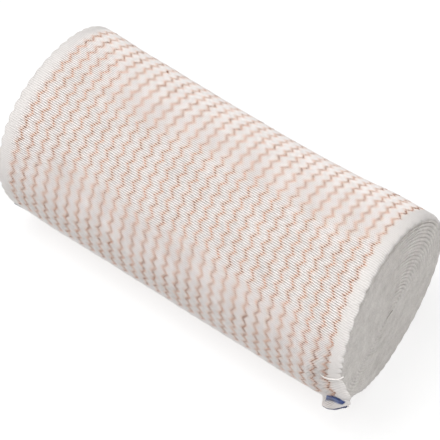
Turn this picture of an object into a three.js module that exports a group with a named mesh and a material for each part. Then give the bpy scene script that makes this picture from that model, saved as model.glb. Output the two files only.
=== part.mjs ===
// Elastic bandage, wound into a roll that lies on its side.
// Millimetres. The roll's axis runs along X, +Z is up, and the floor is z = 0.
// Angles go round the roll: 0 is the back (+Y), 90 the top, 180 the front, 270 the floor.
import * as THREE from 'three';

// The cloth and its winding
const CLOTH_WIDTH = 152;
const CLOTH_THICKNESS = 1.0;
const CLEARANCE = 0.3;
const TURN_PITCH = CLOTH_THICKNESS + CLEARANCE;

// The wound form: a soft oval that is wider than it is high
const RADIUS_SIDEWAYS = 36.8;
const RADIUS_UPWARDS = 34.8;
const SHOULDER_RADIUS = 3;
const FLAT_SPOT_DEPTH = 0.85;

// Neither end was wound square: each leans, and is a little bent out of its plane.
// The leans are slopes, and the saddle and the twist are heights at the rim.
const NEAR_END = { leanBack: 0.13, leanUp: 0.02, saddle: 1.05, twist: 0.55 };
const FAR_END = { leanBack: 0.13, leanUp: -0.03, saddle: -0.55, twist: 1.3 };

// The selvages are bulkier than the middle of the cloth, so both ends flare, but not
// where the roll presses on the floor: there the flare fades out between two angles.
const FLARE_NEAR = 1.9;
const FLARE_FAR = 1.3;
const FLARE_REACH = 25;
const FLARE_FADE_START = 10;
const FLARE_FADE_END = 50;

// Low dents and swells of the outer turns: middle along X, middle angle, reaches, height
const SWELLS = [
  { along: 14, angle: 33, alongReach: 34, angleReach: 30, height: -0.6 },
  { along: 58, angle: 30, alongReach: 11, angleReach: 26, height: 0.7 },
  { along: -70, angle: 62, alongReach: 16, angleReach: 30, height: 0.4 },
  { along: -72, angle: 200, alongReach: 14, angleReach: 24, height: -1.0 },
  { along: 40, angle: 200, alongReach: 30, angleReach: 30, height: -0.4 },
  { along: 78, angle: 236, alongReach: 22, angleReach: 30, height: -5.6 },
  { along: 79, angle: 214, alongReach: 8.5, angleReach: 18, height: -4.0 },
];

// The wound ends: rings of turns that stand a little proud or sunk, round a small eye
const END_RINGS = 9;
const END_RING_RELIEF = 0.6;
const EYE_RADIUS = 2.4;
const EYE_DEPTH = 1.2;

// The loose end: the last stretch of the outer turn, down the front to the cut edge
const LOOSE_START_ANGLE = 146;
const STEP_ANGLE = 1.2;
const CUT_ANGLE = 215;
const LOOSE_EDGE_INSET = 0.6;

// The near corner of the loose end is pulled out past the end of the roll, and up its
// front, more so towards the corner. Two pairs of angles say where each pull sets in and
// where it is full.
const PULL_ALONG_START = 60;
const PULL_OUT = 4.6;
const PULL_OUT_ANGLES = [182, 199];
const PULL_UP_ANGLE = 21;
const PULL_UP_ANGLES = [147, 200];

// There the cloth also stands away from the roll as a small lip, which starts earlier at
// the corner. The corner is drawn in, so that the lip is round and not square.
const LIP_START_ANGLE = 205.2;
const LIP_EARLIER_ANGLE = 6.5;
const LIP_ALONG_START = 64;
const LIP_ALONG_FULL = 67.8;
const LIP_TURN = 57;
const LIP_BEND_LENGTH = 3;
const LIP_CORNER_START = 68;
const LIP_CORNER_DRAW = 0.63;

// How finely the shapes are divided. The crowding draws the loose end's steps together
// towards the selvages, and is 0 for even steps.
const ROUND_STEPS = 90;
const SIDE_STEPS = 16;
const SHOULDER_STEPS = 2;
const LOOSE_STEPS_ALONG = 30;
const LOOSE_STEPS_ROUND = 32;
const LOOSE_STEP_CROWDING = 0.75;

const HALF_WIDTH = CLOTH_WIDTH / 2;
const FULL_TURN = 360;
const FLOOR_ANGLE = 270;
const DEGREE = Math.PI / 180;

const clothWhite = { color: 0xe8e4e1, roughness: 0.92, metalness: 0 };

function smooth(from, to, value) {
  const t = THREE.MathUtils.clamp((value - from) / (to - from), 0, 1);
  return t * t * (3 - 2 * t);
}

function angleBetween(a, b) {
  return THREE.MathUtils.euclideanModulo(a - b + FULL_TURN / 2, FULL_TURN) - FULL_TURN / 2;
}

// Height of the outer turns over the plain oval
function swellAt(along, angle) {
  const nearFlare = FLARE_NEAR * Math.exp((along - HALF_WIDTH) / FLARE_REACH);
  const farFlare = FLARE_FAR * Math.exp((-along - HALF_WIDTH) / FLARE_REACH);
  const fromFloor = Math.abs(angleBetween(angle, FLOOR_ANGLE));
  const offFloor = smooth(FLARE_FADE_START, FLARE_FADE_END, fromFloor);
  let height = (nearFlare + farFlare) * offFloor;
  for (const swell of SWELLS) {
    const a = (along - swell.along) / swell.alongReach;
    const b = angleBetween(angle, swell.angle) / swell.angleReach;
    height += swell.height * Math.exp(-(a * a + b * b));
  }
  return height;
}

// How far the shoulder draws the outer turns in, at a place along the cloth
function shoulderInset(along) {
  const into = Math.max(0, Math.abs(along) - (HALF_WIDTH - SHOULDER_RADIUS));
  return SHOULDER_RADIUS - Math.sqrt(SHOULDER_RADIUS ** 2 - Math.min(into, SHOULDER_RADIUS) ** 2);
}

// How far the unsquare winding of an end moves a point along X
function endShift(end, angle, y, z, share) {
  const bend = end.saddle * Math.cos(2 * angle * DEGREE) + end.twist * Math.sin(2 * angle * DEGREE);
  return share * bend - end.leanBack * y - end.leanUp * z;
}

// A point of the wound form. The depth is measured inwards from the outermost turn,
// and the share is 1 on the side of the roll and 0 at the middle of an end.
function woundPoint(along, angle, depth, share = 1) {
  const height = swellAt(along, angle) - depth;
  const y = share * (RADIUS_SIDEWAYS + height) * Math.cos(angle * DEGREE);
  const z = share * (RADIUS_UPWARDS + height) * Math.sin(angle * DEGREE);
  const towardsNear = (along + HALF_WIDTH) / CLOTH_WIDTH;
  const shift = THREE.MathUtils.lerp(
    endShift(FAR_END, angle, y, z, share),
    endShift(NEAR_END, angle, y, z, share),
    towardsNear,
  );
  return new THREE.Vector3(along + shift, y, z);
}

// The depth of the spiral at an angle, which grows as the cloth is followed back from its end
function spiralDepth(angle) {
  return TURN_PITCH * (CUT_ANGLE - angle) / FULL_TURN;
}

const floorDepth = spiralDepth(FLOOR_ANGLE - FULL_TURN);
const floorLevel = -(RADIUS_UPWARDS - floorDepth - FLAT_SPOT_DEPTH);

// The profile that is revolved: from the middle of the far end, over both shoulders,
// to the middle of the near end. Each row is [share of the radius, place along X].
function woundProfile() {
  const reference = (RADIUS_SIDEWAYS + RADIUS_UPWARDS) / 2;
  const faceRadius = reference - SHOULDER_RADIUS;
  const half = [];
  half.push([0, HALF_WIDTH - EYE_DEPTH]);
  half.push([EYE_RADIUS / reference, HALF_WIDTH - EYE_DEPTH / 2]);
  for (let ring = 1; ring < END_RINGS; ring += 1) {
    const radius = THREE.MathUtils.lerp(EYE_RADIUS, faceRadius, ring / END_RINGS);
    const relief = ring % 2 === 0 ? -END_RING_RELIEF : 0;
    half.push([radius / reference, HALF_WIDTH + relief]);
  }
  for (let step = 0; step <= SHOULDER_STEPS; step += 1) {
    const turn = (step / (SHOULDER_STEPS + 1)) * Math.PI / 2;
    const radius = faceRadius + SHOULDER_RADIUS * Math.sin(turn);
    half.push([radius / reference, HALF_WIDTH - SHOULDER_RADIUS * (1 - Math.cos(turn))]);
  }
  const profile = half.map(([share, along]) => new THREE.Vector2(share, -along));
  for (let step = 0; step <= SIDE_STEPS; step += 1) {
    const along = (HALF_WIDTH - SHOULDER_RADIUS) * (2 * step / SIDE_STEPS - 1);
    profile.push(new THREE.Vector2(1, along));
  }
  half.reverse();
  profile.push(...half.map(([share, along]) => new THREE.Vector2(share, along)));
  return profile;
}

// The wound form is revolved, and each of its points is then moved to its place on the
// spiral. The whole step of the spiral falls in the last, narrow column, under the edge
// where the loose end starts.
function makeRoll() {
  const geometry = new THREE.LatheGeometry(woundProfile(), ROUND_STEPS);
  const position = geometry.attributes.position;
  const point = new THREE.Vector3();
  const rows = position.count / (ROUND_STEPS + 1);
  for (let index = 0; index < position.count; index += 1) {
    point.fromBufferAttribute(position, index);
    const share = Math.hypot(point.x, point.z);
    const column = Math.floor(index / rows) % ROUND_STEPS;
    const leftToGo = 1 - column / (ROUND_STEPS - 1);
    const angle = LOOSE_START_ANGLE - leftToGo * (FULL_TURN - STEP_ANGLE);
    const moved = woundPoint(point.y, angle, spiralDepth(angle), share);
    moved.z = Math.max(moved.z, floorLevel);
    position.setXYZ(index, moved.x, moved.y, moved.z);
  }
  geometry.deleteAttribute('normal');
  geometry.deleteAttribute('uv');
  return geometry;
}

// The loose end starts just past the step of the roll
const looseStart = LOOSE_START_ANGLE + STEP_ANGLE + CLEARANCE / RADIUS_SIDEWAYS / DEGREE;

// A point of the loose end's middle layer where it lies on the roll, with the pull of the
// near corner
function pulledPoint(along, angle) {
  const nearness = smooth(PULL_ALONG_START, HALF_WIDTH, along);
  const pulledAlong = along + PULL_OUT * nearness * smooth(...PULL_OUT_ANGLES, angle);
  const pulledAngle = angle - PULL_UP_ANGLE * nearness * smooth(...PULL_UP_ANGLES, angle);
  const depth = spiralDepth(pulledAngle) + CLOTH_THICKNESS / 2 + shoulderInset(along);
  return woundPoint(pulledAlong, pulledAngle, depth);
}

// One cross line of the loose end, from its start to the cut edge: points half way
// through the cloth, and the outward direction at each.
function looseLine(along) {
  const lip = smooth(LIP_ALONG_START, LIP_ALONG_FULL, along);
  const corner = smooth(LIP_CORNER_START, HALF_WIDTH, along);
  const lipStart = LIP_START_ANGLE - LIP_EARLIER_ANGLE * corner;
  const hug = [];
  for (let step = 0; step <= LOOSE_STEPS_ROUND; step += 1) {
    const angle = THREE.MathUtils.lerp(looseStart, CUT_ANGLE, step / LOOSE_STEPS_ROUND);
    hug.push({ angle, point: pulledPoint(along, angle) });
  }
  const points = [hug[0].point.clone()];
  const headings = [];
  let lifted = 0;
  for (let step = 0; step < LOOSE_STEPS_ROUND; step += 1) {
    const chord = hug[step + 1].point.clone().sub(hug[step].point);
    const middle = (hug[step].angle + hug[step + 1].angle) / 2;
    if (middle > lipStart) lifted += chord.length();
    const bend = lip * smooth(0, LIP_BEND_LENGTH, lifted);
    chord.applyAxisAngle(new THREE.Vector3(1, 0, 0), -bend * LIP_TURN * DEGREE);
    chord.multiplyScalar(1 - bend * corner * LIP_CORNER_DRAW);
    headings.push(chord.clone().normalize());
    points.push(points[step].clone().add(chord));
  }
  const outwards = points.map((_, step) => {
    const before = headings[Math.max(0, step - 1)];
    const after = headings[Math.min(step, headings.length - 1)];
    const heading = before.clone().add(after);
    return new THREE.Vector3(0, heading.z, -heading.y).normalize();
  });
  return { points, outwards };
}

// Shares of the width, from -0.5 to 0.5, become places along X that lie closer together
// towards the selvages, where the shoulders and the lip are.
function finerAtSelvages(share) {
  const wave = Math.sin(2 * Math.PI * share) / (2 * Math.PI);
  return (share + LOOSE_STEP_CROWDING * wave) * (CLOTH_WIDTH - 2 * LOOSE_EDGE_INSET);
}

// The loose end starts as a thin flat box, and each of its points is moved to its place
// on the outer turn.
function makeLooseEnd() {
  const width = CLOTH_WIDTH - 2 * LOOSE_EDGE_INSET;
  const geometry = new THREE.BoxGeometry(width, 1, 1, LOOSE_STEPS_ALONG, LOOSE_STEPS_ROUND, 1);
  const position = geometry.attributes.position;
  const lines = new Map();
  const point = new THREE.Vector3();
  for (let index = 0; index < position.count; index += 1) {
    point.fromBufferAttribute(position, index);
    const along = finerAtSelvages(point.x / width);
    if (!lines.has(along)) lines.set(along, looseLine(along));
    const step = Math.round((0.5 - point.y) * LOOSE_STEPS_ROUND);
    const line = lines.get(along);
    const moved = line.points[step].clone();
    moved.addScaledVector(line.outwards[step], point.z * CLOTH_THICKNESS);
    position.setXYZ(index, moved.x, moved.y, moved.z);
  }
  geometry.deleteAttribute('normal');
  geometry.deleteAttribute('uv');
  return geometry;
}

function makePiece(name, geometry) {
  const piece = new THREE.Mesh(geometry, new THREE.MeshStandardMaterial(clothWhite));
  piece.name = name;
  return piece;
}

const bandage = new THREE.Group();
bandage.add(makePiece('bandage_roll', makeRoll()));
bandage.add(makePiece('loose_end', makeLooseEnd()));

// The origin is on the floor, under the middle of the whole part
const bounds = new THREE.Box3().setFromObject(bandage);
const middle = bounds.getCenter(new THREE.Vector3());
bandage.position.set(-middle.x, -middle.y, -bounds.min.z);

export default bandage;
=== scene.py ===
# %% [markdown]
# # An elastic bandage roll
# A white elastic bandage with thin orange-brown zigzag stripes, wound into a soft roll that
# lies on its side. A drum with stripes painted on it would be quick to make, but the bandage
# is one long strip of cloth. So everything that belongs to it, the cloth, its coloured yarns
# and its sewing, is first made flat, as it lies on the cutting table, and is then wound onto
# the roll by one function. All of it then follows the cloth, round to its loose corner.

# %% Load the frame
import math

import bmesh
import bpy
import numpy as np
from mathutils import Matrix, Vector


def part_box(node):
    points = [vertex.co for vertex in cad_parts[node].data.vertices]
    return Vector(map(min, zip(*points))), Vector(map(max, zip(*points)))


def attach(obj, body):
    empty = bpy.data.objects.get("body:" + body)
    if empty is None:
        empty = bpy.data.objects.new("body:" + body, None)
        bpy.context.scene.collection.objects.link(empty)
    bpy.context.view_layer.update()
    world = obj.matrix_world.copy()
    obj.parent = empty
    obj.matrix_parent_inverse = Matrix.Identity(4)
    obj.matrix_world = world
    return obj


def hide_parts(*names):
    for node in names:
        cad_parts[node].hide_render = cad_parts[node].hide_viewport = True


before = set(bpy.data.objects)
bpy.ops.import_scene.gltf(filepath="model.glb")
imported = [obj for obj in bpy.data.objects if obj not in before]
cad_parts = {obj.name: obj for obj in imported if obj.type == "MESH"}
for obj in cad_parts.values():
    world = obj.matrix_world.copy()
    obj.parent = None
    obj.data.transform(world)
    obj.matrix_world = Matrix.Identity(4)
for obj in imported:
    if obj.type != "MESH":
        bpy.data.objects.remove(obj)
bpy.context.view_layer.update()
scene = bpy.context.scene
MM = 0.001


def add_object(name, data):
    """Makes an object that holds the data, and puts it in the scene."""
    new_object = bpy.data.objects.new(name, data)
    scene.collection.objects.link(new_object)
    return new_object


# %% [markdown]
# ## The camera
# A short lens close by would make the near end of the roll look far too big. A long lens
# from further off keeps the two ends almost parallel, as in a product picture. The camera
# looks down at the middle of the wound form from above its near end, and a small shift
# frames the roll a little up and to the left.

# %% Camera
IMAGE_SIDE = 440
ROLL_TURN = 38.29
ROLL_TILT = 49.84
CAMERA_DISTANCE = 0.7561
FOCAL_PIXELS = 2104.3
SHIFT_RIGHT_PIXELS = 2.35
SHIFT_DOWN_PIXELS = 13.65

roll_low, roll_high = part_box("bandage_roll")
roll_middle = (roll_low + roll_high) / 2
turn = math.radians(ROLL_TURN)
tilt = math.radians(ROLL_TILT)
level = math.cos(tilt)
towards_camera = Vector((math.sin(turn) * level, -math.cos(turn) * level, math.sin(tilt)))
camera_data = bpy.data.cameras.new("product_camera")
camera_data.lens = FOCAL_PIXELS / IMAGE_SIDE * camera_data.sensor_width
camera_data.shift_x = SHIFT_RIGHT_PIXELS / IMAGE_SIDE
camera_data.shift_y = -SHIFT_DOWN_PIXELS / IMAGE_SIDE
camera = add_object("product_camera", camera_data)
camera.location = roll_middle + towards_camera * CAMERA_DISTANCE
camera.rotation_euler = (-towards_camera).to_track_quat("-Z", "Y").to_euler()
scene.camera = camera
print("lens in mm:", round(camera_data.lens, 1))

# %% [markdown]
# ## The shape of the roll
# The roll is a soft oval, pressed flat where it lies. Its ends were not wound square, so
# each one leans and is a little bent. The shape could be sculpted or bent with a lattice.
# Here it is written down as sizes instead, because the yarns and the sewing have to find
# their places on it too. They are the sizes of the solids, in millimetres. Angles go round
# the roll: 0 is the back, 90 the top, 180 the front and 270 the floor.

# %% Sizes of the wound form
CLOTH_WIDTH = 152.0
HALF_WIDTH = CLOTH_WIDTH / 2
CLOTH_THICKNESS = 1.0
MIDDLE_LAYER = -CLOTH_THICKNESS / 2
TURN_PITCH = 1.3
RADIUS_SIDEWAYS = 36.8
RADIUS_UPWARDS = 34.8
MEAN_RADIUS = (RADIUS_SIDEWAYS + RADIUS_UPWARDS) / 2
FLAT_SPOT_DEPTH = 0.85
CUT_ANGLE = 215.0
FLOOR_ANGLE = 270.0
FRONT_ANGLE = 180.0
NEAR_END = {"lean_back": 0.13, "lean_up": 0.02, "saddle": 1.05, "twist": 0.55}
FAR_END = {"lean_back": 0.13, "lean_up": -0.03, "saddle": -0.55, "twist": 1.3}
RADIAN = math.pi / 180
MM_PER_DEGREE = MEAN_RADIUS * RADIAN

print("cloth for each degree in mm:", round(MM_PER_DEGREE, 3))

# %% [markdown]
# ## Flares and swells
# A hand-wound roll is never a true oval. Both ends flare out a little, and low dents and
# swells lie where the cloth was pulled more or less tight. A noise would put them anywhere.
# Each one is a soft hill of its own instead, in a short table, so it lies where it should.

# %% Flares and swells
FLARE_NEAR = 1.9
FLARE_FAR = 1.3
FLARE_REACH = 25.0
FLARE_FADE = (10.0, 50.0)

# Middle across the cloth, middle angle, reach across, reach in degrees, height
SWELLS = [
    (14, 33, 34, 30, -0.6),
    (58, 30, 11, 26, 0.7),
    (-70, 62, 16, 30, 0.4),
    (-72, 200, 14, 24, -1.0),
    (40, 200, 30, 30, -0.4),
    (78, 236, 22, 30, -5.6),
    (79, 214, 8.5, 18, -4.0),
]


def smooth(low, high, value):
    """A share that goes softly from 0 at low to 1 at high."""
    t = np.clip((value - low) / (high - low), 0, 1)
    return t * t * (3 - 2 * t)


def angle_between(a, b):
    return (a - b + 180) % 360 - 180


def swell_at(across, angle):
    """How far a place of the outer turn stands out of the oval."""
    near = FLARE_NEAR * np.exp((across - HALF_WIDTH) / FLARE_REACH)
    far = FLARE_FAR * np.exp((-across - HALF_WIDTH) / FLARE_REACH)
    height = (near + far) * smooth(*FLARE_FADE, np.abs(angle_between(angle, FLOOR_ANGLE)))
    for middle_across, middle_angle, reach_across, reach_angle, swell in SWELLS:
        aside = (across - middle_across) / reach_across
        around = angle_between(angle, middle_angle) / reach_angle
        height = height + swell * np.exp(-(aside * aside + around * around))
    return height


print("swell at the top of the near rim in mm:", round(float(swell_at(HALF_WIDTH, 90.0)), 2))

# %% [markdown]
# ## Winding
# A Curve modifier can bend a strip along a spiral, but it knows nothing of the oval and the
# leaning ends. So the winding is a function. It takes points of the flat cloth: across is
# the place across the cloth, back is how many degrees of winding lie between the point and
# the cut edge, and height is measured outwards from the face of the cloth. Every turn lies
# one pitch deeper than the one that covers it, and nothing goes below the floor.

# %% Winding without the corner
MOST_SHARE = 1.2

# The origin is under the middle of the solids' box, and the roll's axis is here
AXIS_X = -2.099
AXIS_Y = 1.647
floor_turn_depth = TURN_PITCH * (CUT_ANGLE - FLOOR_ANGLE + 360) / 360
AXIS_Z = RADIUS_UPWARDS - floor_turn_depth - FLAT_SPOT_DEPTH


def end_shift(end, angle, y, z, share):
    """How far an end of the roll moves along the axis, because it leans and is bent."""
    bend = end["saddle"] * np.cos(2 * angle * RADIAN) + end["twist"] * np.sin(2 * angle * RADIAN)
    return share * bend - end["lean_back"] * y - end["lean_up"] * z


def on_turn(across, back, height):
    """Places on the roll, as rows of x, y and z in millimetres."""
    angle = CUT_ANGLE - back
    depth = TURN_PITCH * back / 360 - height
    share = np.clip(1 - depth / RADIUS_UPWARDS, 0, MOST_SHARE)
    swell = swell_at(across, angle) * share
    y = (RADIUS_SIDEWAYS + swell - depth) * np.cos(angle * RADIAN)
    z = (RADIUS_UPWARDS + swell - depth) * np.sin(angle * RADIAN)
    near_share = (across + HALF_WIDTH) / CLOTH_WIDTH
    shift = (1 - near_share) * end_shift(FAR_END, angle, y, z, share)
    shift = shift + near_share * end_shift(NEAR_END, angle, y, z, share)
    z = np.maximum(z, depth - floor_turn_depth - AXIS_Z)
    return np.stack([across + shift + AXIS_X, y + AXIS_Y, z + AXIS_Z], axis=-1)


print("height of the roll's axis in mm:", round(AXIS_Z, 2))

# %% [markdown]
# ## The pulled-out corner
# The near corner of the cloth was pulled out past the end of the roll and up its front, and
# it stands away as a small lip. It could be dragged out with proportional editing, which
# would stretch the cloth. Here the path of the cloth is followed in short chords, and each
# chord is turned away from the roll, so the lip keeps its length. Only its very corner is
# drawn in, by the sewing.

# %% The corner and its lip
PULL_ACROSS_START = 60.0
PULL_OUT = 4.6
PULL_OUT_ANGLES = (182.0, 199.0)
PULL_UP_ANGLE = 21.0
PULL_UP_ANGLES = (147.0, 200.0)
LIP_START_ANGLE = 205.2
LIP_EARLIER_ANGLE = 6.5
LIP_ACROSS = (65.0, 67.6)
LIP_TURN = 57.0
LIP_BEND_LENGTH = 3.0
LIP_CORNER_START = 68.0
LIP_CORNER_DRAW = 0.63
LIP_CHORDS = 16
TINY = 1e-9


def pulled(across, back, height):
    """Places on the roll, with the pull of the near corner."""
    nearness = smooth(PULL_ACROSS_START, HALF_WIDTH, across)
    out = PULL_OUT * nearness * smooth(*PULL_OUT_ANGLES, CUT_ANGLE - back)
    up = PULL_UP_ANGLE * nearness * smooth(*PULL_UP_ANGLES, CUT_ANGLE - back)
    return on_turn(across + out, back + up, height)


def lip_start(across):
    """How far back from the cut edge the lip starts to bend."""
    earlier = LIP_EARLIER_ANGLE * smooth(LIP_CORNER_START, HALF_WIDTH, across)
    return CUT_ANGLE - LIP_START_ANGLE + earlier


def on_lip(across, back, height):
    """Places beyond the lip's bend: the path is followed in chords, each turned outwards."""
    lip = smooth(*LIP_ACROSS, across)
    draw = LIP_CORNER_DRAW * smooth(LIP_CORNER_START, HALF_WIDTH, across)
    middle = np.full_like(across, MIDDLE_LAYER)
    start_back = lip_start(across)
    place = pulled(across, start_back, middle)
    point = place.copy()
    length = np.zeros_like(across)
    for chord_number in range(1, LIP_CHORDS + 1):
        reached = start_back + (back - start_back) * chord_number / LIP_CHORDS
        next_place = pulled(across, reached, middle)
        chord = next_place - place
        length += np.linalg.norm(chord, axis=-1)
        bend = lip * smooth(0, LIP_BEND_LENGTH, length)
        angle = -bend * LIP_TURN * RADIAN
        y = chord[:, 1] * np.cos(angle) - chord[:, 2] * np.sin(angle)
        z = chord[:, 1] * np.sin(angle) + chord[:, 2] * np.cos(angle)
        turned = np.stack([chord[:, 0], y, z], axis=-1)
        point = point + turned * (1 - bend * draw)[:, None]
        place = next_place
    outwards = np.stack([np.zeros_like(y), z, -y], axis=-1)
    outwards /= np.maximum(np.linalg.norm(outwards, axis=-1), TINY)[:, None]
    return point + outwards * (height - middle)[:, None]


def wind(across, back, height):
    """Flat cloth points, as arrays in millimetres and degrees, become places in metres."""
    places = pulled(across, back, height)
    lifted = (across > LIP_ACROSS[0]) & (back < lip_start(across))
    if lifted.any():
        places[lifted] = on_lip(across[lifted], back[lifted], height[lifted])
    return places * MM


corner = wind(np.array([HALF_WIDTH]), np.zeros(1), np.zeros(1))[0]
print("corner of the cloth in mm:", (corner / MM).round(1))

# %% [markdown]
# ## From flat to wound
# Every piece but the loose thread starts as a flat bmesh: x is the place across the cloth
# in millimetres, y the degrees of winding and z the height. Moving thousands of vertices one
# by one would be slow, so `wound_object` reads them all as one array, lets the piece's own
# lift function move them and add relief, winds the array and writes it back.

# %% Turn a flat bmesh into a wound object
def wound_object(name, flat, material, lift):
    mesh = bpy.data.meshes.new(name)
    flat.to_mesh(mesh)
    flat.free()
    points = np.empty(len(mesh.vertices) * 3, dtype=np.float32)
    mesh.vertices.foreach_get("co", points)
    across, back, height = points.astype(float).reshape(-1, 3).T
    places = wind(*lift(across, back, height))
    mesh.vertices.foreach_set("co", places.astype(np.float32).ravel())
    mesh.shade_smooth()
    mesh.materials.append(material)
    mesh.update()
    return add_object(name, mesh)


def triangle_count(piece):
    evaluated = piece.evaluated_get(bpy.context.evaluated_depsgraph_get())
    return sum(len(face.vertices) - 2 for face in evaluated.data.polygons)


print("flat cloth in mm:", CLOTH_WIDTH, "wide,", CLOTH_THICKNESS, "thick")

# %% [markdown]
# ## Materials as recipes
# A finish is a small net of nodes. It can be laid out by hand in the shader editor. In a
# script it is easier to read when every step is one line, so this helper adds a node, sets
# its values and joins it to the nodes before it. Numbers that are the same all over a
# surface, such as its roughness, are set on the shader itself.

# %% A helper for node materials
LOW_GLOSS = {"Specular IOR Level": 0.2}


class Recipe:
    """A material's nodes, added and joined in one line each."""

    def __init__(self, name, finish):
        self.material = bpy.data.materials.new(name)
        self.material.use_nodes = True
        self.tree = self.material.node_tree
        self.shader = self.tree.nodes["Principled BSDF"]
        for socket, value in {**LOW_GLOSS, **finish}.items():
            self.shader.inputs[socket].default_value = value

    def add(self, kind, links=None, values=None, **settings):
        node = self.tree.nodes.new(kind)
        for key, value in settings.items():
            setattr(node, key, value)
        for key, value in (values or {}).items():
            node.inputs[key].default_value = value
        for key, source in (links or {}).items():
            self.tree.links.new(source, node.inputs[key])
        return node

    def fill(self, socket, term):
        """Gives a socket another node's output, or a plain number or colour."""
        if isinstance(term, (int, float, tuple)):
            socket.default_value = term
        else:
            self.tree.links.new(term, socket)

    def math(self, operation, *terms):
        node = self.add("ShaderNodeMath", operation=operation)
        for place, term in enumerate(terms):
            self.fill(node.inputs[place], term)
        return node.outputs[0]

    def places(self):
        """The places inside the piece, in metres."""
        return self.add("ShaderNodeTexCoord").outputs["Object"]

    def noise(self, vector, scale, detail):
        """Noise on a vector that is first scaled, each axis by its own number."""
        mapping = self.add("ShaderNodeMapping", {"Vector": vector}, {"Scale": scale})
        values = {"Scale": 1, "Detail": detail}
        return self.add("ShaderNodeTexNoise", {"Vector": mapping.outputs[0]}, values).outputs["Fac"]

    def share(self, value, low, high, most=1, shape="LINEAR"):
        """Where the value lies between low and high, from 0 to most."""
        values = {"From Min": low, "From Max": high, "To Max": most}
        node = self.add("ShaderNodeMapRange", {"Value": value}, values, interpolation_type=shape)
        return node.outputs[0]

    def mix(self, share, first, second):
        node = self.add("ShaderNodeMix", data_type="RGBA")
        factor, first_colour, second_colour = node.inputs[0], node.inputs[6], node.inputs[7]
        self.fill(factor, share)
        self.fill(first_colour, first)
        self.fill(second_colour, second)
        return node.outputs[2]

    def bump(self, height, strength, millimetres, under=None):
        """Bump of so many millimetres, on top of another one if there is one under it."""
        links = {"Height": height} if under is None else {"Height": height, "Normal": under}
        values = {"Strength": strength, "Distance": millimetres * MM}
        return self.add("ShaderNodeBump", links, values).outputs[0]

    def finish(self, colour, normal=None):
        self.tree.links.new(colour, self.shader.inputs["Base Color"])
        if normal is not None:
            self.tree.links.new(normal, self.shader.inputs["Normal"])
        return self.material


print("gloss of every finish here:", LOW_GLOSS["Specular IOR Level"])

# %% [markdown]
# ## The white cloth
# The cloth is dry, matt cotton with a little elastic. It is white with a warm cast. Thick
# weft yarns lie side by side across it as fine ribs. Their crests are painted lighter than
# the valleys: painted light and shade on top of the real ribs, for the white and the tint alike.
# The yarns are not all equally white, so two noises, one as fine as a yarn and one as broad
# as a finger, mix in as well. A coloured yarn runs in zigzags under the white ones and shines
# through them as a pale orange tint. Both selvages have a plain border, where the ribs are
# lower and the tint fades. An image of cloth could be wrapped round the roll, but it would
# blur close by and would not stop at the cut edge. So the pattern is worked out from the
# cloth's own UV map in metres, with a cosine for the ribs and a triangle wave for the
# zigzags, and the bump rounds the ribs and adds the yarns' twist.

# %% Sizes and colours of the cloth
CLOTH_MAP = "flat_cloth"
ROW_PITCH = 0.775
RIB_HEIGHT = 0.26
STRIPE_COUNT = 29
STRIPE_PITCH = 4.97
STRIPE_MARGIN = 7.2
ZIGZAG_ROWS = 6
ZIGZAG_SWING = 0.8
ZIGZAGS_CUT_OFF = 2
CLOTH_FINISH = {"Roughness": 0.9, "Sheen Weight": 0.15, "Sheen Roughness": 0.6}
# The whites and the tints come as lit and shaded copies: painted light on the rib crests and painted
# shade in the valleys, mixed with the yarns' own uneven tone
WHITE_CREST_LIGHT_AND_BRIGHT_YARN = (0.94, 0.89, 0.87, 1)
WHITE_VALLEY_SHADE_AND_DULL_YARN = (0.42, 0.375, 0.35, 1)
RIB_SHADE = 0.4
TWIST_NOISE = {"scale": (700, 3200, 1), "detail": 3}
TWIST_STRENGTH = 0.6
TWIST_HEIGHT = 0.15
UNEVEN_NOISE = {"scale": (90, 90, 1), "detail": 4}
UNEVEN_SHARE = 0.35
LIGHT_RANGE = (0.2, 0.83)
TINT = (0.90, 0.69, 0.585, 1)
TINT_SHADED = (0.46, 0.32, 0.26, 1)
TINT_REACH = 2.1
TINT_SHARE = 0.75
BORDER_WHITE = (0.69, 0.665, 0.645, 1)
BORDER_EDGES = (5.6, 3.6)
BORDER_SHARE = 0.7

print("stripes take up", STRIPE_COUNT * STRIPE_PITCH, "mm of", CLOTH_WIDTH)

# %% Cloth material
def zigzag_tint(recipe, across, length):
    """How much of the coloured yarn shines through, from 0 to 1."""
    zigzag_length = ZIGZAG_ROWS * ROW_PITCH
    zigzags = recipe.math("DIVIDE", recipe.math("SUBTRACT", length, ROW_PITCH / 2), zigzag_length)
    wave = recipe.math("PINGPONG", recipe.math("MULTIPLY", zigzags, 2), 1)
    middle = recipe.math("MULTIPLY_ADD", wave, 2 * ZIGZAG_SWING, STRIPE_MARGIN - ZIGZAG_SWING)
    stripe = recipe.math("DIVIDE", recipe.math("SUBTRACT", across, middle), STRIPE_PITCH)
    first_or_later = recipe.math("MAXIMUM", recipe.math("ROUND", stripe), 0)
    nearest = recipe.math("MINIMUM", first_or_later, STRIPE_COUNT - 1)
    stripes_away = recipe.math("ABSOLUTE", recipe.math("SUBTRACT", stripe, nearest))
    away = recipe.math("MULTIPLY", stripes_away, STRIPE_PITCH)
    tint = recipe.share(away, TINT_REACH, 0, shape="SMOOTHSTEP")
    before_seam = recipe.math("GREATER_THAN", length, ZIGZAGS_CUT_OFF * zigzag_length)
    return recipe.math("MULTIPLY", tint, recipe.math("MULTIPLY", before_seam, TINT_SHARE))


def plain_border(recipe, across):
    """How plain the cloth is: nothing on the stripes, most at the two selvages."""
    from_selvage = recipe.math("MINIMUM", across, recipe.math("SUBTRACT", CLOTH_WIDTH, across))
    return recipe.share(from_selvage, *BORDER_EDGES, most=BORDER_SHARE)


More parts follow.
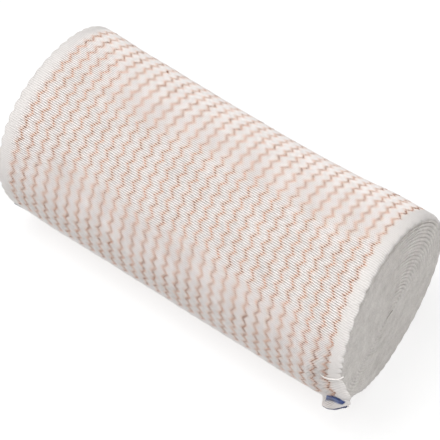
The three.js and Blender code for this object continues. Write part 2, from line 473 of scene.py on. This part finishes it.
def make_striped_cloth():
    recipe = Recipe("striped_elastic_cloth", CLOTH_FINISH)
    uv = recipe.add("ShaderNodeUVMap", uv_map=CLOTH_MAP).outputs["UV"]
    places = recipe.add("ShaderNodeSeparateXYZ", {"Vector": uv}).outputs
    across = recipe.math("DIVIDE", places["X"], MM)
    length = recipe.math("DIVIDE", places["Y"], MM)
    crest = recipe.math("COSINE", recipe.math("MULTIPLY", length, 2 * math.pi / ROW_PITCH))
    twist = recipe.noise(uv, **TWIST_NOISE)
    uneven = recipe.noise(uv, **UNEVEN_NOISE)
    noises = recipe.math("MULTIPLY_ADD", uneven, UNEVEN_SHARE, twist)
    # The share below is painted rib light and shade from the crest cosine, plus the yarns' own uneven
    # tone
    light = recipe.share(recipe.math("MULTIPLY_ADD", crest, RIB_SHADE, noises), *LIGHT_RANGE)
    white = recipe.mix(light, WHITE_VALLEY_SHADE_AND_DULL_YARN, WHITE_CREST_LIGHT_AND_BRIGHT_YARN)
    tinted = recipe.mix(light, TINT_SHADED, TINT)
    striped = recipe.mix(zigzag_tint(recipe, across, length), white, tinted)
    border = plain_border(recipe, across)
    ribs = recipe.math("MULTIPLY", crest, recipe.math("SUBTRACT", 1, border))
    rib_bump = recipe.bump(ribs, 1, RIB_HEIGHT / 2)
    twist_bump = recipe.bump(twist, TWIST_STRENGTH, TWIST_HEIGHT, under=rib_bump)
    return recipe.finish(recipe.mix(border, striped, BORDER_WHITE), twist_bump)


striped_cloth = make_striped_cloth()
print("nodes in the striped cloth:", len(striped_cloth.node_tree.nodes))

# %% [markdown]
# ## How the selvages run
# The selvages are plain, with a row of small loops where the weft turns back. They wander a
# little, and those of the outer turns bend in over the turns under them, as loose cloth
# does. Displacement by a texture could do this, but it would move the yarns and the sewing
# apart. As functions of the place on the flat cloth, they hold for every piece alike.

# %% Selvages
LOOP_PITCH = 4.65
LOOP_REACH = 1.0
INNER_LOOP_REACH = 0.08
SELVAGE_REACH = 4.0
EDGE_EXCESS = 0.45
EXCESS_TURNS = 0.5
CURL_REACH = 2.8
CURL_DEPTH = 1.3
CURL_TURNS = 1.0
CURL_SHARE_IN_FRONT = 0.25
CURL_FADE = (45, 85)

# Height in mm, degrees of winding for a radian of the wave, and phase at the near selvage
SELVAGE_WAVES = [(0.04, 47, 1.3), (0.02, 19, -1), (0.05, 400, 2)]


def cloth_length(back):
    """Millimetres of cloth from the cut edge to a place that many degrees back."""
    return RADIAN * (MEAN_RADIUS * back - TURN_PITCH * back**2 / 720)


def selvage_place(across, back):
    """Moves places across the cloth, so that the selvages wander and have loops."""
    side = np.sign(across)
    wander = sum(height * np.sin(back / span + phase * side) for height, span, phase in SELVAGE_WAVES)
    outermost = np.exp(-back / 360 / EXCESS_TURNS)
    reach = INNER_LOOP_REACH + (LOOP_REACH - INNER_LOOP_REACH) * outermost
    loops = reach * np.abs(np.sin(math.pi * cloth_length(back) / LOOP_PITCH))
    near_edge = smooth(HALF_WIDTH - SELVAGE_REACH, HALF_WIDTH, np.abs(across))
    return across + side * near_edge * (wander + EDGE_EXCESS * outermost + loops - reach)


def curl(across, back):
    """How far the selvages of the outer turns bend in. They do so less in front."""
    into = np.clip((np.abs(across) - HALF_WIDTH + CURL_REACH) / CURL_REACH, 0, 1)
    from_front = smooth(*CURL_FADE, np.abs(angle_between(CUT_ANGLE - back, FRONT_ANGLE)))
    depth = CURL_DEPTH * (CURL_SHARE_IN_FRONT + (1 - CURL_SHARE_IN_FRONT) * from_front)
    return depth * np.exp(-back / 360 / CURL_TURNS) * (1 - np.sqrt(1 - into**2))


print("cloth in one turn in mm:", round(cloth_length(360), 1))

# %% [markdown]
# ## How the cloth is woven
# The coloured yarns make a stripe every five millimetres, and the plain cloth between two
# stripes puffs up a little. Weft and warp are never quite straight on a wound cloth, and its
# face has low lumps. A few slow sine waves are enough for this. They need no seed, and the
# cloth and its yarns can both be moved by the very same waves.

# %% Relief and drift of the weave
ROW_DEGREES = ROW_PITCH / MM_PER_DEGREE
FIRST_STRIPE = STRIPE_MARGIN - HALF_WIDTH
BAND_PUFF = 0.12
PRESSED_ANGLES = (20, 13)
STEADY_SELVAGE = 3.0

# The lumps' heights, and the millimetres of cloth for a radian of each of their waves
LUMP_HEIGHT = 0.08
LUMP_ACROSS = 7.1
LUMP_ALONG = 9.3
LUMP_SKEW = 31
LUMP_SNAKING = 2.0
LUMP_SNAKE_LENGTH = 23
RIPPLE_HEIGHT = 0.04
RIPPLE_ACROSS = 3.3
RIPPLE_ALONG = 13

# Height in mm, then mm across and degrees back for a radian of the wave, and phase
ROW_WAVES = [(0.25, 19, math.inf, 0.6), (0.18, 7.3, 60, 0)]
STRIPE_WAVES = [(0.22, 24, 21, 0), (0.12, 11, 8.3, 0)]


def band_height(across):
    """The plain bands between the stripes stand a little higher than the stripes."""
    stripe = (across - FIRST_STRIPE) / STRIPE_PITCH
    inside = (stripe > -0.5) & (stripe < STRIPE_COUNT - 0.5)
    return np.where(inside, BAND_PUFF * (1 - np.cos(2 * math.pi * stripe)) / 2, BAND_PUFF)


def soft_lumps(across, back):
    """Broad, low unevenness of the outer turn."""
    length = cloth_length(back)
    snaking = LUMP_SNAKING * np.sin(length / LUMP_SNAKE_LENGTH)
    lumps = LUMP_HEIGHT * np.sin(across / LUMP_ACROSS + snaking)
    lumps = lumps * np.sin(length / LUMP_ALONG + across / LUMP_SKEW)
    ripples = RIPPLE_HEIGHT * np.sin(across / RIPPLE_ACROSS + length / RIPPLE_ALONG)
    return LUMP_HEIGHT + RIPPLE_HEIGHT + lumps + ripples


def pressed_flat(back):
    """1 where the roll's weight presses the outer turn against the floor, 0 elsewhere."""
    return smooth(*PRESSED_ANGLES, np.abs(angle_between(CUT_ANGLE - back, FLOOR_ANGLE)))


def waves(table, across, back):
    """The sum of some sine waves over the flat cloth."""
    return sum(
        height * np.sin(across / span_across + back / span_back + phase)
        for height, span_across, span_back, phase in table
    )


def drift(across, back):
    """Moves places as the rows and stripes do. The selvages stay where they are across."""
    free = np.abs(across) < HALF_WIDTH - STEADY_SELVAGE
    moved_across = across + waves(STRIPE_WAVES, across, back) * free
    return moved_across, back + waves(ROW_WAVES, across, back) * ROW_DEGREES


print("rows in the outer turn:", int(360 / ROW_DEGREES))

# %% [markdown]
# ## A grid of cloth
# Cloth is a thin sheet, so a grid with a Solidify modifier is all it takes. A plane cut by
# hand would do for a few columns, but here the grid operator makes them all, and each vertex
# is then moved to its column and row. Columns lie closer at the selvages, and at the near
# corner they are divided once more, so that the outline of the lip is round. A vertex group
# thins the cloth towards the selvages, which makes their edges round too.

# %% Grid of cloth
ACROSS_LAYER = "place_across"
SELVAGE_COLUMNS = [0, 0.25, 0.6, 1.1, 1.8, 2.8, 4.2]
LEAST_STEP = 0.5
CORNER_COLUMNS_FROM = 62.0
CORNER_ROWS_TO = 30.0
CORNER_CUTS = 2
SHARE_DECIMALS = 3


def cloth_columns():
    """Places across the cloth, from the far selvage to the near one."""
    first = FIRST_STRIPE - STRIPE_PITCH / 2
    last = FIRST_STRIPE + (STRIPE_COUNT - 0.5) * STRIPE_PITCH
    bands = np.linspace(first, last, 2 * STRIPE_COUNT + 1)
    selvage = np.array(SELVAGE_COLUMNS)
    inside = bands[np.abs(bands) < HALF_WIDTH - selvage[-1] - LEAST_STEP]
    return np.concatenate([selvage - HALF_WIDTH, inside, HALF_WIDTH - selvage[::-1]])


def flat_grid(columns, row_backs):
    """A grid with these places across and back, and a UV map in metres of flat cloth."""
    flat = bmesh.new()
    steps_across, steps_back = len(columns) - 1, len(row_backs) - 1
    half_side = 0.5
    bmesh.ops.create_grid(flat, x_segments=steps_across, y_segments=steps_back, size=half_side)
    uv = flat.loops.layers.uv.new(CLOTH_MAP)
    place = flat.verts.layers.float.new(ACROSS_LAYER)
    for vert in flat.verts:
        column = round((vert.co.x + half_side) * steps_across)
        row = round((vert.co.y + half_side) * steps_back)
        vert.co = (columns[column], row_backs[row], 0)
        vert[place] = columns[column]
    for face in flat.faces:
        for loop in face.loops:
            across, back, _ = loop.vert.co
            loop[uv].uv = ((across + HALF_WIDTH) * MM, back * MM_PER_DEGREE * MM)
    return flat


def finer_corner(flat):
    """Divides the columns at the near corner."""
    finer = []
    for edge in flat.edges:
        first, second = (vert.co for vert in edge.verts)
        at_corner = min(first.x, second.x) > CORNER_COLUMNS_FROM and first.y < CORNER_ROWS_TO
        if at_corner and first.y == second.y:
            finer.append(edge)
    bmesh.ops.subdivide_edges(flat, edges=finer, cuts=CORNER_CUTS, use_grid_fill=True)
    return flat


def thicken(piece, thickness, from_selvage, shares):
    """Solidify, with a vertex group that thins the cloth towards both selvages."""
    group = piece.vertex_groups.new(name="thickness")
    across = np.empty(len(piece.data.vertices), dtype=np.float32)
    piece.data.attributes[ACROSS_LAYER].data.foreach_get("value", across)
    weights = np.interp(HALF_WIDTH - np.abs(across), from_selvage, shares).round(SHARE_DECIMALS)
    for weight in np.unique(weights):
        group.add(np.flatnonzero(weights == weight).tolist(), float(weight), "REPLACE")
    solid = piece.modifiers.new("thickness", "SOLIDIFY")
    solid.thickness = thickness * MM
    solid.offset = 0
    solid.vertex_group = group.name


outer_columns = cloth_columns()
print("columns across the outer turn:", len(outer_columns))

# %% [markdown]
# ## The outer turn
# The last turn of the cloth, with its loose end, is the one that shows. Ribs as bump alone
# would leave a smooth outline, so the grid has two rows for each rib, one on its crest and
# one in the valley, and the ribs are real. They are lower on the border. The thread of the
# cut edge draws the near corner in and makes it round, and the floor presses the relief flat.

# %% Outer turn
OUTER_DEGREES = 380.0
SELVAGE_THICKNESS = [0.4, 0.7, 0.86, 0.95, 1, 1, 1]
BORDER_RIB_HEIGHT = 0.1
BORDER_PLACES = (HALF_WIDTH - BORDER_EDGES[0], HALF_WIDTH - BORDER_EDGES[1])
EVEN_EDGE = 2.0
PRESSED_DEPTH = 0.08
CORNER_RETREAT = 1.2
CORNER_RETREAT_ACROSS = (68.5, 71.5)
CORNER_ROUND = 3.0
CORNER_ROUND_START = 70.0
CORNER_FADE = 20.0


def rounded_corner(across, back):
    """Moves the rows near the cut edge back, most of all at the near corner."""
    t = np.clip((across - CORNER_ROUND_START) / (HALF_WIDTH - CORNER_ROUND_START), 0, 1)
    retreat = CORNER_RETREAT * smooth(*CORNER_RETREAT_ACROSS, across)
    retreat = retreat + CORNER_ROUND * (1 - np.sqrt(1 - t * t))
    return back + retreat / MM_PER_DEGREE * np.clip(1 - back / CORNER_FADE, 0, 1) ** 2


def outer_lift(across, back, height):
    """Relief and selvages of the outer turn, on its middle layer."""
    half_rows = np.round(back / ROW_DEGREES * 2)
    on_border = smooth(*BORDER_PLACES, np.abs(across))
    rib_height = RIB_HEIGHT + (BORDER_RIB_HEIGHT - RIB_HEIGHT) * on_border
    ribs = np.where(half_rows % 2 == 0, rib_height, 0)
    on_cloth = smooth(HALF_WIDTH, HALF_WIDTH - EVEN_EDGE, np.abs(across))
    relief = ribs + (band_height(across) + soft_lumps(across, back)) * on_cloth - RIB_HEIGHT / 2
    pressed = pressed_flat(back)
    relief = relief * (1 - pressed) - PRESSED_DEPTH * pressed
    moved_across, moved_back = drift(across, back)
    height = height + MIDDLE_LAYER + relief - curl(across, back)
    return selvage_place(moved_across, back), rounded_corner(across, moved_back), height


outer_rows = np.arange(0, OUTER_DEGREES + ROW_DEGREES / 4, ROW_DEGREES / 2)
outer_flat = finer_corner(flat_grid(outer_columns, outer_rows))
outer_turn = wound_object("outer_turn", outer_flat, striped_cloth, outer_lift)
thicken(outer_turn, CLOTH_THICKNESS, SELVAGE_COLUMNS, SELVAGE_THICKNESS)
print("outer turn:", len(outer_rows), "rows,", triangle_count(outer_turn), "triangles")

# %% [markdown]
# ## The cloth of the wound ends
# At the two ends of the roll only the selvages of the turns show, packed close. There the
# weave can't be told any more: the cloth looks like felt with a fine fuzz. Its colours are
# darker than the white cloth, a painted shade for the crevices between the packed turns. Its
# pattern has no direction, so it needs no UV map. Two noises through the piece itself, a
# fine one and a broader one, give the fuzz and the uneven tone.

# %% Selvage cloth material
# Both colours are darker than the white cloth: painted shade for the crevices between the turns
SELVAGE_PAINTED_SHADE_DARK = (0.575, 0.54, 0.51, 1)
SELVAGE_PAINTED_SHADE_LIGHT = (0.76, 0.725, 0.69, 1)
SELVAGE_RANGE = (0.7, 1.3)
FUZZ_NOISE = {"scale": (1500, 1500, 1500), "detail": 3}
FUZZ_STRENGTH = 0.6
FUZZ_HEIGHT = 0.25
TONE_NOISE = {"scale": (260, 260, 260), "detail": 4}


def make_selvage_cloth():
    recipe = Recipe("plain_elastic_cloth", CLOTH_FINISH)
    places = recipe.places()
    fuzz = recipe.noise(places, **FUZZ_NOISE)
    both = recipe.math("ADD", fuzz, recipe.noise(places, **TONE_NOISE))
    colour = recipe.mix(recipe.share(both, *SELVAGE_RANGE), SELVAGE_PAINTED_SHADE_DARK, SELVAGE_PAINTED_SHADE_LIGHT)
    return recipe.finish(colour, recipe.bump(fuzz, FUZZ_STRENGTH, FUZZ_HEIGHT))


selvage_cloth = make_selvage_cloth()
print("nodes in the selvage cloth:", len(selvage_cloth.node_tree.nodes))

# %% [markdown]
# ## The turns inside
# The other turns are the same strip, wound on down to the middle. A disc with rings drawn on
# it would look flat in low light, so they are one real spiral, which leaves a small eye. It
# needs most of its columns at the selvages, and a few between them that follow the flare of
# the ends. The rows are spread evenly along the cloth: steps of equal angle would crowd at
# the middle.

# %% Inner turns
INNER_DEPTH = 33.4
INNER_ROWS = 2900
LENGTHS_PER_ROW = 4
INNER_COLUMNS = [0, 0.25, 0.7, 2, 8, 20, 45]
INNER_THICKNESS = [0.98, 1, 1, 1]
INNER_LAYER = 1.295


def inner_lift(across, back, height):
    return selvage_place(across, back), back, height + MIDDLE_LAYER - curl(across, back)


def even_rows(first_back, last_back):
    """Degrees of winding whose steps along the cloth are all the same."""
    backs = np.linspace(first_back, last_back, LENGTHS_PER_ROW * INNER_ROWS)
    lengths = cloth_length(backs)
    return np.interp(np.linspace(lengths[0], lengths[-1], INNER_ROWS), lengths, backs)


inner_end = INNER_DEPTH / TURN_PITCH * 360
inner_side = np.array(INNER_COLUMNS)
inner_columns = np.concatenate([inner_side - HALF_WIDTH, [0], HALF_WIDTH - inner_side[::-1]])
inner_flat = flat_grid(inner_columns, even_rows(OUTER_DEGREES, inner_end))
inner_turns = wound_object("inner_turns", inner_flat, selvage_cloth, inner_lift)
thicken(inner_turns, INNER_LAYER, INNER_COLUMNS[: len(INNER_THICKNESS)], INNER_THICKNESS)
print("turns:", round(inner_end / 360, 1), "with", triangle_count(inner_turns), "triangles")

# %% [markdown]
# ## The coloured yarn
# The stripes are of thick orange-brown yarn. Its strands lie in light and shade, and a noise
# finer than the yarn mixes the two colours for them.

# %% Yarn material
YARN_FINISH = {"Roughness": 0.75}
YARN_DARK = (0.20, 0.09, 0.055, 1)
YARN_LIGHT = (0.58, 0.31, 0.2, 1)
YARN_NOISE = {"scale": (700, 700, 700), "detail": 2}
YARN_RANGE = (0.38, 0.62)


def make_yarn():
    recipe = Recipe("orange_brown_yarn", YARN_FINISH)
    strands = recipe.noise(recipe.places(), **YARN_NOISE)
    return recipe.finish(recipe.mix(recipe.share(strands, *YARN_RANGE), YARN_DARK, YARN_LIGHT))


coloured_yarn = make_yarn()
print("nodes in the yarn:", len(coloured_yarn.node_tree.nodes))

# %% [markdown]
# ## The zigzag stripes
# Each stripe is a coloured yarn that shows once between every two ribs as a short float,
# thrown a little further across or back each time, so six ribs make one zigzag. A line in
# the material would be flat. So each float is a small flattened bead of few faces. Six of
# them make one zigzag, and a spin without an angle repeats it along the cloth and then
# across it. The whole flat field is then wound like the cloth.

# %% A flat field of floats
FLOAT_LENGTH = 1.25
FLOAT_WIDTH = 0.46
FLOAT_HEIGHT = 0.34
FLOAT_SIDES = 4
FLOAT_RINGS = 3


def repeat(flat, step, times):
    """Copies all of a flat bmesh so many times, each a step further. Nothing is turned."""
    everything = flat.verts[:] + flat.edges[:] + flat.faces[:]
    no_turn = {"cent": (0, 0, 0), "axis": (0, 0, 1), "angle": 0}
    bmesh.ops.spin(flat, geom=everything, dvec=step, steps=times, use_duplicate=True, **no_turn)


def stripe_field():
    """All stripes' floats on the flat cloth, with z as the height over the face."""
    flat = bmesh.new()
    size = Matrix.Diagonal((FLOAT_LENGTH, FLOAT_WIDTH / MM_PER_DEGREE, FLOAT_HEIGHT, 1))
    bead = {"u_segments": FLOAT_SIDES, "v_segments": FLOAT_RINGS, "radius": 0.5}
    for row in range(ZIGZAG_ROWS):
        throw = 1 - 4 * abs(row / ZIGZAG_ROWS - 0.5)
        place = Matrix.Translation((FIRST_STRIPE + throw * ZIGZAG_SWING, (row + 0.5) * ROW_DEGREES, 0))
        bmesh.ops.create_uvsphere(flat, matrix=place @ size, **bead)
    zigzags = int(OUTER_DEGREES / (ZIGZAG_ROWS * ROW_DEGREES)) - ZIGZAGS_CUT_OFF
    step = Vector((0, ZIGZAG_ROWS * ROW_DEGREES, 0))
    bmesh.ops.translate(flat, verts=flat.verts, vec=step * ZIGZAGS_CUT_OFF)
    repeat(flat, step, zigzags - 1)
    repeat(flat, Vector((STRIPE_PITCH, 0, 0)), STRIPE_COUNT - 1)
    return flat


stripes_flat = stripe_field()
print("faces in the flat field:", len(stripes_flat.faces))

# %% [markdown]
# ## Settling the floats
# On the real cloth no two floats are alike. Each one is moved a little, set a little higher
# or lower and made longer or shorter, with dice that have a fixed seed. It also follows the
# relief of the cloth under it, and on the floor it is pressed flat.

# %% Zigzag stripes
FLOAT_VERTS = FLOAT_SIDES * (FLOAT_RINGS - 1) + 2
FLOAT_SEAT = -0.02
FLOAT_SEED = 7
FLOAT_JOG_ACROSS = 0.13
FLOAT_JOG_HEIGHT = 0.05
FLOAT_STRETCH = (0.65, 1.35)
PRESSED_FLOAT_SHARE = 0.4
PRESSED_FLOAT_DEPTH = 0.18


def middle_of_each(values):
    """For every vertex, the middle of the float that it belongs to."""
    return np.repeat(values.reshape(-1, FLOAT_VERTS).mean(axis=1), FLOAT_VERTS)


def float_lift(across, back, height):
    count = len(across) // FLOAT_VERTS
    dice = np.random.default_rng(FLOAT_SEED)
    jog_across = np.repeat(dice.normal(0, FLOAT_JOG_ACROSS, count), FLOAT_VERTS)
    jog_height = np.repeat(dice.normal(0, FLOAT_JOG_HEIGHT, count), FLOAT_VERTS)
    stretch = np.repeat(dice.uniform(*FLOAT_STRETCH, count), FLOAT_VERTS)
    middle_across = middle_of_each(across)
    middle_back = middle_of_each(back)
    across = middle_across + (across - middle_across) * stretch
    surface = band_height(middle_across) + soft_lumps(middle_across, middle_back)
    surface = surface + FLOAT_SEAT + jog_height
    pressed = pressed_flat(middle_back)
    pressed_height = PRESSED_FLOAT_SHARE * height - PRESSED_FLOAT_DEPTH
    moved_across, moved_back = drift(across + jog_across, back)
    return moved_across, moved_back, (height + surface) * (1 - pressed) + pressed_height * pressed


zigzag_stripes = wound_object("zigzag_stripes", stripes_flat, coloured_yarn, float_lift)
print("zigzag stripes:", triangle_count(zigzag_stripes), "triangles")

# %% [markdown]
# ## Thread
# Sewing thread is smoother than the cloth's yarns, with a little sheen and a fine twist. The
# blue of the seam comes twice: a nearly black copy, a painted shade, for the short stitches
# and the bound edge, and a brighter blue where it is pulled out. The loose thread is
# off-white. They differ in colour alone, so one function makes all three.

# %% Thread materials
THREAD_FINISH = {"Roughness": 0.5, "Sheen Weight": 0.3}
THREAD_NOISE = {"scale": (900, 900, 900), "detail": 2}
THREAD_RANGE = (0.35, 0.65)
THREAD_BUMP_STRENGTH = 0.5
THREAD_BUMP_HEIGHT = 0.1
BLUE_DARK, BLUE_LIGHT = (0.016, 0.03, 0.135, 1), (0.055, 0.12, 0.34, 1)
# The same blue thread, darker: painted shade for the short stitches and the bound edge
BLUE_PAINTED_SHADE_DARK, BLUE_PAINTED_SHADE_LIGHT = (0.012, 0.018, 0.065, 1), (0.03, 0.05, 0.16, 1)
OFF_WHITE_DARK, OFF_WHITE_LIGHT = (0.72, 0.69, 0.66, 1), (0.88, 0.85, 0.82, 1)


def make_thread(name, dark, light):
    recipe = Recipe(name, THREAD_FINISH)
    twist = recipe.noise(recipe.places(), **THREAD_NOISE)
    colour = recipe.mix(recipe.share(twist, *THREAD_RANGE), dark, light)
    return recipe.finish(colour, recipe.bump(twist, THREAD_BUMP_STRENGTH, THREAD_BUMP_HEIGHT))


blue_thread = make_thread("blue_thread", BLUE_DARK, BLUE_LIGHT)
blue_thread_painted_shade = make_thread("blue_thread_painted_shade", BLUE_PAINTED_SHADE_DARK, BLUE_PAINTED_SHADE_LIGHT)
white_thread = make_thread("white_thread", OFF_WHITE_DARK, OFF_WHITE_LIGHT)
print("threads:", blue_thread.name, blue_thread_painted_shade.name, white_thread.name)

# %% [markdown]
# ## The sewing of the cut edge
# A cut elastic cloth ravels, so its edge is oversewn. Short slanted stitches of blue thread
# run along the cut on both faces, and the same thread binds the cut itself. There the blue is
# the nearly black copy, a painted shade. Where the near corner is pulled out, the stitches are
# of the brighter blue, are pulled long and lie further in. One curve could follow the thread
# through every stitch, but only what lies on the cloth shows. So each stitch is a small
# rounded bar, made on the flat cloth with the cut edge as back 0, repeated across it, and then
# moved to its place.

# %% Rows of stitches
STITCH_PITCH = 0.46
BEAD_PITCH = 0.62
PLAIN_STITCHES = {
    "size": (0.62, 1.6, 0.4),
    "slant": 34,
    "pitch": STITCH_PITCH,
    "places": (-75.4, 63.0),
    "heights": (0.06, -1.0),
}
PULLED_STITCHES = {
    "size": (0.62, 4.6, 0.7),
    "slant": -10,
    "pitch": STITCH_PITCH,
    "places": (68.0, 74.8),
    "heights": (0.3, -1.15),
}
EDGE_BEADS = {
    "size": (0.85, 0.5, 0.8),
    "slant": 0,
    "pitch": BEAD_PITCH,
    "places": (-75.4, 64.0),
    "heights": (MIDDLE_LAYER,),
}
CORNER_BEADS = {
    "size": (0.85, 1.2, 1.4),
    "slant": 0,
    "pitch": BEAD_PITCH,
    "places": (64.6, 75.8),
    "heights": (MIDDLE_LAYER,),
}
STITCH_SIDES = 6
STITCH_RINGS = 5


def row_across(size, slant, pitch, places, heights):
    """A row of small rounded bars across the flat cloth."""
    row = bmesh.new()
    turned = Matrix.Rotation(math.radians(slant), 4, "Z") @ Matrix.Diagonal((*size, 1))
    in_degrees = Matrix.Diagonal((1, 1 / MM_PER_DEGREE, 1, 1))
    bar = {"u_segments": STITCH_SIDES, "v_segments": STITCH_RINGS, "radius": 0.5}
    for height in heights:
        place = Matrix.Translation((places[0], 0, height))
        bmesh.ops.create_uvsphere(row, matrix=place @ in_degrees @ turned, **bar)
    repeat(row, Vector((pitch, 0, 0)), int((places[1] - places[0]) / pitch))
    return row


print("stitches and beads lie", STITCH_PITCH, "and", BEAD_PITCH, "mm apart")

# %% Sewing
STITCH_FROM_EDGE = 0.9

# The long stitches by their place across: how far in they lie, and the share of their length
PULLED_ACROSS = (67.6, 70.0, 76.0)
PULLED_FROM_EDGE = (5.9, 7.2, 6.2)
PULLED_LENGTH_SHARE = (1.6, 1.3, 0.7)


def plain_lift(across, back, height):
    """Moves the short stitches to their place, just in from the cut edge."""
    return across, back + STITCH_FROM_EDGE / MM_PER_DEGREE, height


def pulled_lift(across, back, height):
    """Moves the long stitches to their place and gives them their lengths."""
    length_share = np.interp(across, PULLED_ACROSS, PULLED_LENGTH_SHARE)
    from_edge = np.interp(across, PULLED_ACROSS, PULLED_FROM_EDGE)
    return across, back * length_share + from_edge / MM_PER_DEGREE, height


def edge_lift(across, back, height):
    """Moves the beads onto the cut edge. They keep their length where the corner is drawn in."""
    draw = LIP_CORNER_DRAW * smooth(LIP_CORNER_START, HALF_WIDTH, across)
    edge = rounded_corner(across, np.zeros_like(across))
    return across, back / (1 - draw) + edge, height


# The short stitches and the bound edge wear the blue in painted shade
plain_seam = wound_object("plain_seam", row_across(**PLAIN_STITCHES), blue_thread_painted_shade, plain_lift)
pulled_seam = wound_object("pulled_seam", row_across(**PULLED_STITCHES), blue_thread, pulled_lift)
edge_thread = wound_object("edge_thread", row_across(**EDGE_BEADS), blue_thread_painted_shade, edge_lift)
corner_thread = wound_object("corner_thread", row_across(**CORNER_BEADS), blue_thread_painted_shade, edge_lift)
print("stitches:", triangle_count(plain_seam), "and", triangle_count(pulled_seam), "triangles")
print("bound edge:", triangle_count(edge_thread), "and", triangle_count(corner_thread), "triangles")

# %% [markdown]
# ## A loose white thread
# Near the pulled-out corner a white thread has come loose. It leaves the cloth, arches over
# the near selvage and ends on the wound end. Skinned edges would make it too, but a curve
# with a bevel is round by itself and has its caps. It goes through a few points given on
# the flat cloth and becomes a mesh. It is too short to hang or to be coiled.

# %% Loose thread
THREAD_RADIUS = 0.24
ROUND_STEPS = 2
STEPS_PER_POINT = 6
CURVE_ORDER = 4

# Place across, angle round the roll and height over the cloth, from the root to the tip
THREAD_ROUTE = [
    (68.0, 173.5, -0.3),
    (69.0, 173.1, 0.5),
    (70.8, 171.9, 0.8),
    (73.0, 170.1, 0.9),
    (75.2, 168.0, 0.9),
    (76.7, 166.4, 0.5),
    (77.4, 165.0, -0.4),
]


def draw_curve(name, route, radius):
    curve = bpy.data.curves.new(name, "CURVE")
    curve.dimensions = "3D"
    curve.bevel_depth = radius * MM
    curve.bevel_resolution = ROUND_STEPS
    curve.resolution_u = STEPS_PER_POINT
    curve.use_fill_caps = True
    spline = curve.splines.new("NURBS")
    spline.points.add(len(route) - 1)
    across, angle, height = np.array(route).T
    for point, place in zip(spline.points, on_turn(across, CUT_ANGLE - angle, height) * MM):
        point.co = (*place, 1)
    spline.use_endpoint_u = True
    spline.order_u = CURVE_ORDER
    return add_object(name, curve)


def curve_to_mesh(drawn, name, material):
    """A mesh object with the shape of the curve, which is then removed."""
    mesh = bpy.data.meshes.new_from_object(drawn.evaluated_get(bpy.context.evaluated_depsgraph_get()))
    bpy.data.objects.remove(drawn)
    mesh.materials.clear()
    mesh.materials.append(material)
    mesh.shade_smooth()
    return add_object(name, mesh)


thread_curve = draw_curve("thread_curve", THREAD_ROUTE, THREAD_RADIUS)
loose_thread = curve_to_mesh(thread_curve, "loose_thread", white_thread)
print("loose thread:", triangle_count(loose_thread), "triangles")

# %% [markdown]
# ## Floor and light
# The roll lies on plain white. A floor that is lit as softly as the roll would look grey, so
# it glows by itself as well. Small lights would draw hard shadows. Two large soft ones above
# and a weaker one towards the near end give the even light of a product picture: the top of
# the roll is bright, its front fades a little downwards, and the near end is in soft shade.

# %% Floor, light and world
FLOOR_SIDE = 6.0
FLOOR_FINISH = {
    "Roughness": 0.9,
    "Base Color": (0.35, 0.35, 0.35, 1),
    "Emission Color": (1, 1, 1, 1),
    "Emission Strength": 0.68,
}
WORLD_WHITE = (1, 1, 1, 1)
WORLD_GLOW = 0.05

# Name, place, the point that it is aimed at, side in metres, power in watts
LIGHTS = [
    ("key_light", (-0.5, -0.7, 1.4), (0, 0, 0), 1.2, 18),
    ("top_light", (0, 0.1, 1.5), (0, 0, 0), 1.2, 11),
    ("end_light", (0.7, -0.25, 0.75), (0.08, 0, 0.03), 0.6, 3.0),
]


def make_floor():
    flat = bmesh.new()
    bmesh.ops.create_grid(flat, x_segments=1, y_segments=1, size=FLOOR_SIDE / 2)
    mesh = bpy.data.meshes.new("floor")
    flat.to_mesh(mesh)
    flat.free()
    mesh.materials.append(Recipe("pale_floor", FLOOR_FINISH).material)
    return add_object("floor", mesh)


def soft_light(name, place, aim, side, power):
    data = bpy.data.lights.new(name, "AREA")
    data.shape = "SQUARE"
    data.size = side
    data.energy = power
    light = add_object(name, data)
    light.location = place
    light.rotation_euler = (Vector(aim) - Vector(place)).to_track_quat("-Z", "Y").to_euler()


floor = make_floor()
for light_row in LIGHTS:
    soft_light(*light_row)
world = bpy.data.worlds.new("pale_surround")
world.use_nodes = True
background = world.node_tree.nodes["Background"]
background.inputs["Color"].default_value = WORLD_WHITE
background.inputs["Strength"].default_value = WORLD_GLOW
scene.world = world
scene.view_settings.view_transform = "Standard"
print("lights:", [light_row[0] for light_row in LIGHTS])

# %% [markdown]
# ## What rides, what replaces what
# The bandage has no joints, so every piece rides on the one body. Modelled cloth takes the
# place of the plain solids, which are hidden.

sewing = (plain_seam, pulled_seam, edge_thread, corner_thread, loose_thread)
for piece in (outer_turn, inner_turns, zigzag_stripes, *sewing):
    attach(piece, "root")
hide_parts("bandage_roll")
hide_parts("loose_end")
print("pieces:", 3 + len(sewing))
